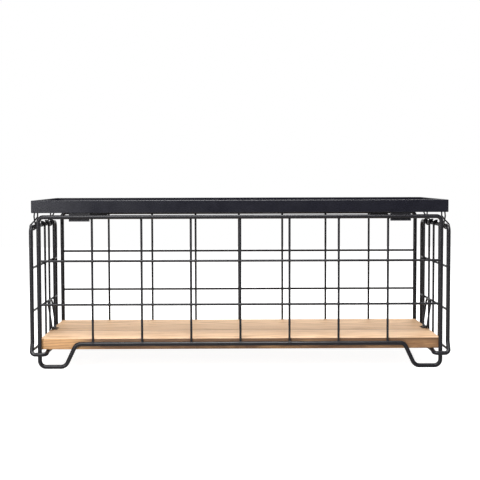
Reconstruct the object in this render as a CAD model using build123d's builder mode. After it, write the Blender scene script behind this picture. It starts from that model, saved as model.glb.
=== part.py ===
"""Entryway bench: a steel seat rim on bent-rod panels, with a wooden shelf inside.

Millimetres. Z is up, X runs along the bench and -Y is its front. The origin is on the
floor, under the middle of the bench.
"""
from build123d import *
from math import acos, atan2, cos, degrees, hypot, radians, sin
import os

os.makedirs("parts", exist_ok=True)

# ---- Driving dimensions ----------------------------------------------------------------
SEAT_LENGTH = 1000.0
SEAT_DEPTH = 372.0
SEAT_HEIGHT = 406.0

ROD_D = 10.0  # bent rods of all four panels
WIRE_D = 5.5  # thin wires of all four panels
WELD_SINK = 0.15  # how far a welded wire end sinks into what it meets

# Seat rim: a ring of flat bar, with ledge strips welded inside its foot
RIM_HEIGHT = 30.0
RIM_WALL = 3.0
RIM_EDGE_R = 1.4
RIM_CORNER_R = 2.5
LEDGE_REACH = 25.0  # from the rim's outer face to the ledge's inner edge
LEDGE_SHEET = 3.0

# Seat panel: a flat sheet on edge bars that stand on the ledge
PANEL_GAP = 1.5
PANEL_SHEET = 2.0
PANEL_DEPTH = 12.0
PANEL_CORNER_R = 4.0
PANEL_EDGE_R = 0.6
EDGE_BAR = 3.0
BEARER_X = 165.0  # the two bearers and the stiffeners above them, either side of the middle
BEARER_WIDTH = 25.0
STIFFENER_WIDTH = 40.0
STIFFENER_SHEET = 1.5

# Front and back panels
PANEL_Y = 181.5  # from the middle to the rods' centreline
LEG_X = 483.5
TOP_ROD_Z = 366.0
RAIL_Z = 60.0
FOOT_INNER_X = 422.0
RAIL_END_X = 396.0
TOP_BEND_R = 12.0
FOOT_OUTER_R = 15.0
FOOT_INNER_R = 18.0
RAIL_BEND_R = 15.0
TOP_JOINT_X = 464.0  # butt welds between the rails, legs and feet
RAIL_JOINT_X = 380.0
LEG_JOINT_Z = 90.0
UPRIGHT_COUNT = 7
UPRIGHT_PITCH = 118.6
CROSS_WIRE_Z = (155.5, 260.5)

# End panels
END_X = 502.0
END_ROD_Y = 177.5
END_TOP_Z = 342.0
END_TOP_R = 14.0
WRAP_CLEARANCE = 0.1  # between a leg and the rod that wraps round it
WRAP_Z = 36.5
WRAP_START_Z = 64.0
WRAP_BEND_R = 9.0
RUNNER_X = 467.0
RUNNER_Y = 165.0
RUNNER_BEND_R = 14.0
END_UPRIGHT_Y = (-103.0, -30.0, 30.0, 103.0)
END_CROSS_Z = (140.0, 244.0)
END_BOTTOM_Z = 46.0
UPRIGHT_TAIL = 4.0
HOOK_ANGLE = 105.0

# Clips that hold the top rods under the rim
FRONT_CLIP_X = 386.0
BACK_CLIP_X = 383.5
CLIP_LENGTH = 48.0
CLIP_MOUTH = 2.0  # from the rod's centreline out to the clip's lips
CLIP_BACK = 11.0  # from the rod's centreline in to the clip's back
CLIP_BELOW = 10.5
CLIP_CLEARANCE = 0.15
CLIP_EDGE_R = 1.5
CLIP_SCREW_X = 15.0
CLIP_SCREW_IN = 8.0
CLIP_SCREW_D = 4.0
CLIP_SCREW_HEAD_D = 7.5
CLIP_SCREW_DEPTH = 7.5

# Hangers between the rim and the end panels' top rods
HANGER_D = 3.6
HANGER_CLEARANCE = 0.3
HANGER_Y = (-150.5, 86.5)
HANGER_PINCH = (497.5, 357.0)
HANGER_TOP_X = (490.5, 497.5)

# Shelf board
SHELF_LENGTH = 970.0
SHELF_DEPTH = 350.0
SHELF_BOTTOM = 46.0
SHELF_THICKNESS = 26.0
SHELF_GAP = 0.2  # between the board and the rods that it lies on
FRONT_PLANK_WIDTH = 141.5
SHELF_EDGE_R = 1.2
PLANK_EDGE_R = 0.4

# Handles on the shelf board
HANDLE_D = 5.0
HANDLE_WIDTH = 58.0
HANDLE_LENGTH = 72.5
HANDLE_TOP_R = 15.0
HANDLE_FOOT_R = 9.0
HANDLE_PIVOT_X = 479.0
HANDLE_REST_GAP = 0.3  # between the leaning handle and the end uprights
STRAP_WIDTH = 8.0
STRAP_SHEET = 1.0
STRAP_CLEARANCE = 0.15
STRAP_Y = 12.0
STRAP_TAB = 11.0
STRAP_SCREW_OUT = 7.2
STRAP_SCREW_D = 2.5
STRAP_SCREW_HEAD_D = 5.0
STRAP_SCREW_LENGTH = 13.0

# ---- Worked out from them --------------------------------------------------------------
ROD_R = ROD_D / 2
WIRE_R = WIRE_D / 2
RIM_BOTTOM = SEAT_HEIGHT - RIM_HEIGHT
LEDGE_TOP = RIM_BOTTOM + LEDGE_SHEET
RIM_INNER_LENGTH = SEAT_LENGTH - 2 * RIM_WALL
RIM_INNER_DEPTH = SEAT_DEPTH - 2 * RIM_WALL
LEDGE_INNER_LENGTH = SEAT_LENGTH - 2 * LEDGE_REACH
LEDGE_INNER_DEPTH = SEAT_DEPTH - 2 * LEDGE_REACH
WIRE_OFFSET = WIRE_R  # uprights inside the panel's plane, cross wires outside it
WIRE_SEAT = (ROD_R**2 - WIRE_OFFSET**2) ** 0.5 - WELD_SINK  # rod's axis to a wire's welded end
END_UPRIGHT_X = END_X - ROD_R - WIRE_R
END_CROSS_X = END_UPRIGHT_X + WIRE_D
HOOK_R = ROD_R + WIRE_R
RUNNER_Z = SHELF_BOTTOM - SHELF_GAP - ROD_R
WRAP_Y = PANEL_Y + ROD_D + WRAP_CLEARANCE
CLIPS = {  # each clip's middle in X, and -1 in front or 1 behind
    "front_left": (-FRONT_CLIP_X, -1),
    "front_right": (FRONT_CLIP_X, -1),
    "back_left": (-BACK_CLIP_X, 1),
    "back_right": (BACK_CLIP_X, 1),
}
CLIP_SCREWS = [
    (clip_x + offset, outward * (PANEL_Y - CLIP_SCREW_IN))
    for clip_x, outward in CLIPS.values()
    for offset in (-CLIP_SCREW_X, CLIP_SCREW_X)
]
SHELF_TOP = SHELF_BOTTOM + SHELF_THICKNESS
HANDLE_R = HANDLE_D / 2
HANDLE_PIVOT_Z = SHELF_TOP + HANDLE_R + HANDLE_REST_GAP
HANDLE_TOP_X = END_UPRIGHT_X - WIRE_R - HANDLE_REST_GAP - HANDLE_R
HANDLE_LEAN = degrees(acos((HANDLE_TOP_X - HANDLE_PIVOT_X) / HANDLE_LENGTH))
ON_TOP = (Align.CENTER, Align.CENTER, Align.MIN)
HANGING = (Align.CENTER, Align.CENTER, Align.MAX)


# ---- Shared forms ----------------------------------------------------------------------
def bent_rod(points, radii, diameter):
    """Return a round rod along straight runs joined by bends."""
    with BuildPart() as rod:
        with BuildLine() as route:
            FilletPolyline(*points, radius=radii)
        path = route.wires()[0]
        with BuildSketch(Plane(origin=path @ 0, z_dir=path % 0)):
            Circle(diameter / 2)
        sweep(path=path)
    return rod.part


def straight_wires(starts, direction, length, diameter):
    """Return one straight wire from each start point, as separate solids."""
    with BuildPart() as wires:
        for start in starts:
            with BuildSketch(Plane(origin=start, z_dir=direction)):
                Circle(diameter / 2)
            extrude(amount=length)
    return wires.part


def finish(part, label):
    """Name a finished piece and write it."""
    part.label = label
    export_step(part, f"parts/{label}.step")


# ---- Seat rim --------------------------------------------------------------------------
with BuildPart() as seat_rim:
    with BuildSketch(Plane.XY.offset(RIM_BOTTOM)):
        Rectangle(SEAT_LENGTH, SEAT_DEPTH)
    extrude(amount=RIM_HEIGHT)
    fillet(seat_rim.edges().filter_by(Axis.Z), RIM_CORNER_R)
    with BuildSketch(Plane.XY.offset(RIM_BOTTOM)):
        Rectangle(RIM_INNER_LENGTH, RIM_INNER_DEPTH)
    extrude(amount=RIM_HEIGHT, mode=Mode.SUBTRACT)
    fillet(seat_rim.faces().sort_by(Axis.Z)[-1].outer_wire().edges(), RIM_EDGE_R)
    fillet(seat_rim.faces().sort_by(Axis.Z)[0].outer_wire().edges(), RIM_EDGE_R)
finish(seat_rim.part, "seat_rim")

# Two long strips, with a short one between them at each end
STRIP_WIDTH = LEDGE_REACH - RIM_WALL
with BuildPart() as seat_rim_ledge:
    with BuildSketch(Plane.XY.offset(RIM_BOTTOM)):
        with GridLocations(0, RIM_INNER_DEPTH - STRIP_WIDTH, 1, 2):
            Rectangle(RIM_INNER_LENGTH, STRIP_WIDTH)
    extrude(amount=LEDGE_SHEET)
    with Locations(Plane.XY.offset(LEDGE_TOP)):
        with Locations(*CLIP_SCREWS):
            CounterSinkHole(CLIP_SCREW_D / 2, CLIP_SCREW_HEAD_D / 2, depth=LEDGE_SHEET)
with BuildPart() as short_strips:
    with BuildSketch(Plane.XY.offset(RIM_BOTTOM)):
        with GridLocations(RIM_INNER_LENGTH - STRIP_WIDTH, 0, 2, 1):
            Rectangle(STRIP_WIDTH, LEDGE_INNER_DEPTH)
    extrude(amount=LEDGE_SHEET)
ledge_strips = Compound(children=[*seat_rim_ledge.part.solids(), *short_strips.part.solids()])
finish(ledge_strips, "seat_rim_ledge")

with BuildPart() as seat_bearers:
    with BuildSketch(Plane.XY.offset(RIM_BOTTOM)):
        with GridLocations(2 * BEARER_X, 0, 2, 1):
            Rectangle(BEARER_WIDTH, LEDGE_INNER_DEPTH)
    extrude(amount=LEDGE_SHEET)
finish(seat_bearers.part, "seat_bearers")

# ---- Seat panel ------------------------------------------------------------------------
PANEL_LENGTH = RIM_INNER_LENGTH - 2 * PANEL_GAP
PANEL_BREADTH = RIM_INNER_DEPTH - 2 * PANEL_GAP
BAR_HEIGHT = PANEL_DEPTH - PANEL_SHEET
with BuildPart() as seat_panel:
    with BuildSketch(Plane.XY.offset(LEDGE_TOP + BAR_HEIGHT)):
        RectangleRounded(PANEL_LENGTH, PANEL_BREADTH, PANEL_CORNER_R)
    extrude(amount=PANEL_SHEET)
    fillet(seat_panel.faces().sort_by(Axis.Z)[-1].edges(), PANEL_EDGE_R)
finish(seat_panel.part, "seat_panel")

# Flat bars on edge, welded under the sheet and stopped short of its round corners
with BuildPart() as seat_panel_bars:
    with BuildSketch(Plane.XY.offset(LEDGE_TOP)):
        with GridLocations(0, PANEL_BREADTH - EDGE_BAR, 1, 2):
            Rectangle(PANEL_LENGTH - 2 * PANEL_CORNER_R, EDGE_BAR)
        with GridLocations(PANEL_LENGTH - EDGE_BAR, 0, 2, 1):
            Rectangle(EDGE_BAR, PANEL_BREADTH - 2 * PANEL_CORNER_R)
    extrude(amount=BAR_HEIGHT)
finish(seat_panel_bars.part, "seat_panel_bars")

# Hat channels: their feet are spot-welded to the sheet and their crowns stand on the bearers
HAT_LENGTH = PANEL_BREADTH - 2 * EDGE_BAR
with BuildPart() as seat_panel_stiffeners:
    with BuildSketch(Plane.XZ.offset(-HAT_LENGTH / 2)):
        with Locations((-BEARER_X, LEDGE_TOP), (BEARER_X, LEDGE_TOP)):
            Rectangle(BEARER_WIDTH, BAR_HEIGHT, align=(Align.CENTER, Align.MIN))
        with Locations((-BEARER_X, LEDGE_TOP + BAR_HEIGHT), (BEARER_X, LEDGE_TOP + BAR_HEIGHT)):
            Rectangle(STIFFENER_WIDTH, STIFFENER_SHEET, align=(Align.CENTER, Align.MAX))
            Rectangle(
                BEARER_WIDTH - 2 * STIFFENER_SHEET,
                BAR_HEIGHT - STIFFENER_SHEET,
                align=(Align.CENTER, Align.MAX),
                mode=Mode.SUBTRACT,
            )
    extrude(amount=HAT_LENGTH)
finish(seat_panel_stiffeners.part, "seat_panel_stiffeners")


# ---- Front and back panels -------------------------------------------------------------
def build_long_panel(name, outward):
    """Build a long panel's rods, uprights and cross wires. outward is -1 in front, 1 behind."""
    rod_y = outward * PANEL_Y

    # Rails, legs and feet are butt-welded into one loop
    rails = [
        straight_wires([(-joint_x, rod_y, z)], (1, 0, 0), 2 * joint_x, ROD_D)
        for joint_x, z in ((TOP_JOINT_X, TOP_ROD_Z), (RAIL_JOINT_X, RAIL_Z))
    ]
    right_leg = bent_rod(
        [(TOP_JOINT_X, rod_y, TOP_ROD_Z), (LEG_X, rod_y, TOP_ROD_Z), (LEG_X, rod_y, LEG_JOINT_Z)],
        [TOP_BEND_R],
        ROD_D,
    )
    right_foot = bent_rod(
        [
            (LEG_X, rod_y, LEG_JOINT_Z),
            (LEG_X, rod_y, ROD_R),
            (FOOT_INNER_X, rod_y, ROD_R),
            (RAIL_END_X, rod_y, RAIL_Z),
            (RAIL_JOINT_X, rod_y, RAIL_Z),
        ],
        [FOOT_OUTER_R, FOOT_INNER_R, RAIL_BEND_R],
        ROD_D,
    )
    left_side = [rod.mirror(Plane.YZ) for rod in (right_leg, right_foot)]
    rods = [rod.solid() for rod in (*rails, right_leg, right_foot, *left_side)]
    finish(Compound(children=rods), f"{name}_frame")

    half_count = (UPRIGHT_COUNT - 1) / 2
    upright_y = rod_y - outward * WIRE_OFFSET
    foot_z = RAIL_Z + WIRE_SEAT
    feet = [((i - half_count) * UPRIGHT_PITCH, upright_y, foot_z) for i in range(UPRIGHT_COUNT)]
    uprights = straight_wires(feet, (0, 0, 1), TOP_ROD_Z - WIRE_SEAT - foot_z, WIRE_D)
    finish(uprights, f"{name}_upright_wires")

    cross_y = rod_y + outward * WIRE_OFFSET
    half_length = LEG_X - WIRE_SEAT
    ends = [(-half_length, cross_y, z) for z in CROSS_WIRE_Z]
    cross_wires = straight_wires(ends, (1, 0, 0), 2 * half_length, WIRE_D)
    finish(cross_wires, f"{name}_cross_wires")


build_long_panel("front", -1)
build_long_panel("back", 1)


# ---- End panels ------------------------------------------------------------------------
def build_end_panel(name, side):
    """Build an end panel's rod, uprights and cross wires. side is -1 on the left."""
    front_half = bent_rod(
        [
            (side * END_X, 0, END_TOP_Z),
            (side * END_X, -END_ROD_Y, END_TOP_Z),
            (side * END_X, -END_ROD_Y, WRAP_START_Z),
            (side * END_X, -WRAP_Y, WRAP_Z),
            (side * RUNNER_X, -WRAP_Y, WRAP_Z),
            (side * RUNNER_X, -RUNNER_Y, RUNNER_Z),
            (side * RUNNER_X, 0, RUNNER_Z),
        ],
        [END_TOP_R, END_TOP_R, WRAP_BEND_R, WRAP_BEND_R, RUNNER_BEND_R],
        ROD_D,
    )
    with BuildPart() as frame:
        add(front_half)
        mirror(about=Plane.XZ)
    finish(frame.part, f"{name}_end_frame")

    # Each upright runs up the inner side of the top rod and hooks over it
    with BuildPart() as uprights:
        for y in END_UPRIGHT_Y:
            with BuildLine(Plane.XZ.offset(-y)) as route:
                foot = (side * END_UPRIGHT_X, END_BOTTOM_Z - UPRIGHT_TAIL)
                shoulder = (side * END_UPRIGHT_X, END_TOP_Z)
                Line(foot, shoulder)
                JernArc(shoulder, (0, 1), HOOK_R, -side * HOOK_ANGLE)
            path = route.wires()[0]
            with BuildSketch(Plane(origin=path @ 0, z_dir=path % 0)):
                Circle(WIRE_R)
            sweep(path=path)
    finish(uprights.part, f"{name}_end_uprights")

    # Cross wires end on the rods, on the outer side of the uprights
    half_length = END_ROD_Y - WIRE_SEAT
    slope = (WRAP_Y - END_ROD_Y) / (WRAP_START_Z - WRAP_Z)
    bottom_half = half_length + slope * (WRAP_START_Z - END_BOTTOM_Z)
    with BuildPart() as cross_wires:
        for z, half in (*((z, half_length) for z in END_CROSS_Z), (END_BOTTOM_Z, bottom_half)):
            with BuildSketch(Plane(origin=(side * END_CROSS_X, 0, z), z_dir=(0, 1, 0))):
                Circle(WIRE_R)
            extrude(amount=half, both=True)
    finish(cross_wires.part, f"{name}_end_cross_wires")


build_end_panel("left", -1)
build_end_panel("right", 1)


# ---- Clips and their screws ------------------------------------------------------------
def build_clip(name, clip_x, outward):
    """Build a clip, a C-shaped channel that is open outwards around the top rod."""
    with BuildPart() as clip:
        with BuildSketch(Plane.YZ.offset(clip_x - CLIP_LENGTH / 2)) as section:
            top = RIM_BOTTOM - TOP_ROD_Z
            with Locations((outward * PANEL_Y, TOP_ROD_Z)):
                with Locations((outward * (CLIP_MOUTH - CLIP_BACK) / 2, (top - CLIP_BELOW) / 2)):
                    Rectangle(CLIP_MOUTH + CLIP_BACK, top + CLIP_BELOW)
            inner_corners = section.vertices().group_by(Axis.Y)[0 if outward > 0 else -1]
            fillet(inner_corners.sort_by(Axis.Z)[0], CLIP_EDGE_R)
            with Locations((outward * PANEL_Y, TOP_ROD_Z)):
                Circle(ROD_R + CLIP_CLEARANCE, mode=Mode.SUBTRACT)
                Rectangle(
                    2 * CLIP_BACK,
                    2 * (ROD_R + CLIP_CLEARANCE),
                    align=(Align.MIN if outward > 0 else Align.MAX, Align.CENTER),
                    mode=Mode.SUBTRACT,
                )
        extrude(amount=CLIP_LENGTH)
        with Locations((clip_x, outward * (PANEL_Y - CLIP_SCREW_IN), RIM_BOTTOM)):
            with GridLocations(2 * CLIP_SCREW_X, 0, 2, 1):
                Hole(CLIP_SCREW_D / 2, depth=CLIP_SCREW_DEPTH)
    finish(clip.part, f"{name}_clip")


for clip_name, (clip_middle, clip_outward) in CLIPS.items():
    build_clip(clip_name, clip_middle, clip_outward)

# Countersunk screws, flush with the rim's ledge
with BuildPart() as clip_screws:
    with Locations(Plane.XY.offset(LEDGE_TOP)):
        with Locations(*CLIP_SCREWS):
            cone_height = (CLIP_SCREW_HEAD_D - CLIP_SCREW_D) / 2
            Cone(CLIP_SCREW_D / 2, CLIP_SCREW_HEAD_D / 2, cone_height, align=HANGING)
            Cylinder(CLIP_SCREW_D / 2, LEDGE_SHEET + CLIP_SCREW_DEPTH, align=HANGING)
finish(clip_screws.part, "clip_screws")


# ---- Hangers ---------------------------------------------------------------------------
def build_hanger(name, side, y):
    """Build a hanger: an eye round the end panel's top rod and two strands, pinched together."""
    eye_r = ROD_R + HANGER_CLEARANCE + HANGER_D / 2
    pinch_x, pinch_z = HANGER_PINCH
    to_pinch = (pinch_x - END_X, pinch_z - END_TOP_Z)
    pinch_angle = atan2(to_pinch[1], to_pinch[0])
    spread = acos(eye_r / hypot(*to_pinch))
    pinch = Vector(side * pinch_x, y, pinch_z)
    with BuildPart() as hanger:
        with Locations(Location((side * END_X, y, END_TOP_Z), (90, 0, 0))):
            Torus(eye_r, HANGER_D / 2)
        with Locations(pinch):
            Sphere(HANGER_D / 2)
        for angle in (pinch_angle - spread, pinch_angle + spread):
            touch = Vector(
                side * (END_X + eye_r * cos(angle)), y, END_TOP_Z + eye_r * sin(angle)
            )
            with BuildSketch(Plane(origin=touch, z_dir=pinch - touch)):
                Circle(HANGER_D / 2)
            extrude(amount=(pinch - touch).length)
        for top_x in HANGER_TOP_X:
            top = Vector(side * top_x, y, RIM_BOTTOM + WELD_SINK)
            with BuildSketch(Plane(origin=pinch, z_dir=top - pinch)):
                Circle(HANGER_D / 2)
            extrude(amount=(top - pinch).length)
    finish(hanger.part, f"{name}_hanger")


for end_name, end_side in (("left", -1), ("right", 1)):
    for place, hanger_y in zip(("front", "back"), HANGER_Y):
        build_hanger(f"{end_name}_{place}", end_side, hanger_y)


# ---- Shelf board -----------------------------------------------------------------------
def build_plank(name, front_y, back_y):
    """Build a plank of the shelf board between two Y positions."""
    with BuildPart() as plank:
        with BuildSketch(Plane.XY.offset(SHELF_BOTTOM)):
            with Locations((0, (front_y + back_y) / 2)):
                Rectangle(SHELF_LENGTH, back_y - front_y)
        extrude(amount=SHELF_THICKNESS)
        long_edges = plank.edges().filter_by(Axis.X)
        outer = 0 if front_y + back_y < 0 else -1
        joint = -1 - outer
        fillet(long_edges.group_by(Axis.Y)[outer], SHELF_EDGE_R)
        top_joint_edge = plank.edges().filter_by(Axis.X).group_by(Axis.Y)[joint]
        chamfer(top_joint_edge.sort_by(Axis.Z)[-1], PLANK_EDGE_R)
    finish(plank.part, f"shelf_{name}_plank")


PLANK_JOINT_Y = FRONT_PLANK_WIDTH - SHELF_DEPTH / 2
build_plank("front", -SHELF_DEPTH / 2, PLANK_JOINT_Y)
build_plank("back", PLANK_JOINT_Y, SHELF_DEPTH / 2)


# ---- Handles on the shelf board --------------------------------------------------------
def build_handle(name, side):
    """Build a handle loop, the straps that hinge it to the board, and their screws."""
    lean = radians(HANDLE_LEAN)
    pivot = Vector(side * HANDLE_PIVOT_X, 0, HANDLE_PIVOT_Z)
    top = pivot + Vector(side * cos(lean), 0, sin(lean)) * HANDLE_LENGTH
    half = Vector(0, HANDLE_WIDTH / 2, 0)
    loop_half = bent_rod(
        [pivot, pivot + half, top + half, top], [HANDLE_FOOT_R, HANDLE_TOP_R], HANDLE_D
    )
    with BuildPart() as handle:
        add(loop_half)
        mirror(about=Plane.XZ)
    finish(handle.part, f"{name}_handle")

    # A strap curls over the loop's foot and runs inboard along the board to its screw
    inner_r = HANDLE_R + STRAP_CLEARANCE
    outer_r = inner_r + STRAP_SHEET
    foot_drop = HANDLE_PIVOT_Z - SHELF_TOP
    with BuildPart() as straps:
        for y in (-STRAP_Y, STRAP_Y):
            with BuildSketch(Plane.XZ.offset(-y - STRAP_WIDTH / 2)):
                with Locations((side * HANDLE_PIVOT_X, HANDLE_PIVOT_Z)):
                    Circle(outer_r)
                    Rectangle(2 * outer_r, foot_drop, align=(Align.CENTER, Align.MAX))
                with Locations((side * HANDLE_PIVOT_X, SHELF_TOP)):
                    Rectangle(
                        STRAP_TAB,
                        STRAP_SHEET,
                        align=(Align.MAX if side > 0 else Align.MIN, Align.MIN),
                    )
                with Locations((side * HANDLE_PIVOT_X, HANDLE_PIVOT_Z)):
                    Circle(inner_r, mode=Mode.SUBTRACT)
                    Rectangle(
                        2 * inner_r, 2 * outer_r, align=(Align.CENTER, Align.MAX),
                        mode=Mode.SUBTRACT,
                    )
                with Locations((side * HANDLE_PIVOT_X, SHELF_TOP)):
                    Rectangle(
                        4 * outer_r, outer_r, align=(Align.CENTER, Align.MAX),
                        mode=Mode.SUBTRACT,
                    )
            extrude(amount=STRAP_WIDTH)
        screw_x = side * (HANDLE_PIVOT_X - STRAP_SCREW_OUT)
        with Locations(*((screw_x, y, SHELF_TOP + STRAP_SHEET) for y in (-STRAP_Y, STRAP_Y))):
            Hole(STRAP_SCREW_D / 2, depth=STRAP_SHEET)
    finish(straps.part, f"{name}_handle_straps")

    with BuildPart() as screws:
        with Locations(*((screw_x, y, SHELF_TOP + STRAP_SHEET) for y in (-STRAP_Y, STRAP_Y))):
            Cylinder(STRAP_SCREW_HEAD_D / 2, STRAP_SHEET, align=ON_TOP)
            Cylinder(STRAP_SCREW_D / 2, STRAP_SCREW_LENGTH, align=HANGING)
        heads = screws.faces().filter_by(Axis.Z).group_by(Axis.Z)[-1]
        fillet(heads.edges(), STRAP_SHEET / 2)
    finish(screws.part, f"{name}_strap_screws")


build_handle("left", -1)
build_handle("right", 1)
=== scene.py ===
"""Entryway bench: finishes, welds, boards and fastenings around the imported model.

Metres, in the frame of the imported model: Z is up, X runs along the bench and -Y is its front.
"""

import logging
import math
from dataclasses import dataclass
from enum import Enum

import bpy
import numpy as np
from mathutils import Euler, Matrix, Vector
from numpy.typing import ArrayLike


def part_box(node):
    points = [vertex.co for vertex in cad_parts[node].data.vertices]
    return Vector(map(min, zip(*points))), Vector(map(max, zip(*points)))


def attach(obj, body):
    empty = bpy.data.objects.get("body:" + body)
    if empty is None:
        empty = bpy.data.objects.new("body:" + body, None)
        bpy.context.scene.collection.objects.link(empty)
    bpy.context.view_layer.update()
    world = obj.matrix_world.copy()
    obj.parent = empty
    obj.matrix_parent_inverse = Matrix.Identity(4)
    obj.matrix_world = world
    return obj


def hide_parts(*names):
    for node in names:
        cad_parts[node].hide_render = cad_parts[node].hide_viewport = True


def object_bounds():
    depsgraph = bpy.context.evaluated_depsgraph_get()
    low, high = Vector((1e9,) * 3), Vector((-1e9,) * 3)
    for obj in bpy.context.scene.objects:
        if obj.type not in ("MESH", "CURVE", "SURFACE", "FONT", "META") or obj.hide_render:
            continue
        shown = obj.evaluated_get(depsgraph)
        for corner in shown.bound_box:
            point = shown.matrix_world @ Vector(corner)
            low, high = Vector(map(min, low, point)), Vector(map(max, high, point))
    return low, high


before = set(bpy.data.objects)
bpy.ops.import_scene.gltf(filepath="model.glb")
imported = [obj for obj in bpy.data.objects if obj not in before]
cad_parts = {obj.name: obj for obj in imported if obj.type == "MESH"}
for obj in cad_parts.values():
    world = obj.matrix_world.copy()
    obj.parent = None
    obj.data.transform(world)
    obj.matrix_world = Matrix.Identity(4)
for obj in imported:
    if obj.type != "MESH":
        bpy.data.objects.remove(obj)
CAD_LOW, CAD_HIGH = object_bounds()

log = logging.getLogger("entryway_bench")

Point = tuple[float, float, float]
Colour = tuple[float, float, float]
Surface = tuple[np.ndarray, np.ndarray]

MM = 0.001
ORIGIN = (0.0, 0.0, 0.0)
WHITE = (1.0, 1.0, 1.0)
MIX_A, MIX_B, MIX_RESULT = 6, 7, 2  # a Mix node's colour sockets
NOISE_MIDDLE = (0.3, 0.7)  # where most of a noise's values lie

POLE_SHARE = 0.001  # size of the ring that stands for a pole
DOME_RINGS = 6
COLLAR_RINGS, COLLAR_SIDES = 6, 24
NUGGET_RINGS, NUGGET_SIDES = 11, 18
FILLET_LEG = 1.25 * MM
FILLET_BITE = 0.06 * MM  # how deep a fillet's toe lies in its rod
FILLET_CORE = 0.4 * MM  # how much deeper its inside goes
FILLET_INSIDE = 0.75  # radius of its inside, as a share of the wire's
ROD_MARGIN = 0.02 * MM  # what a fillet keeps from the sides of its rod
LEG_SPREAD = (0.85, 1.15)
LEG_WAVES = (0.16, 0.09)  # how uneven a fillet is: one wave round it, and three
NUGGET_SPREAD = (0.88, 1.12)


class Slot(Enum):
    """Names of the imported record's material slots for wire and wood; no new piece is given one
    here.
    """

    WIRE = "wire_steel"
    WOOD = "shelf_wood"


class Body(Enum):
    """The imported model's bodies that new pieces ride on."""

    FRAME = "bench_frame"
    BOARD = "shelf_board"


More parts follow.
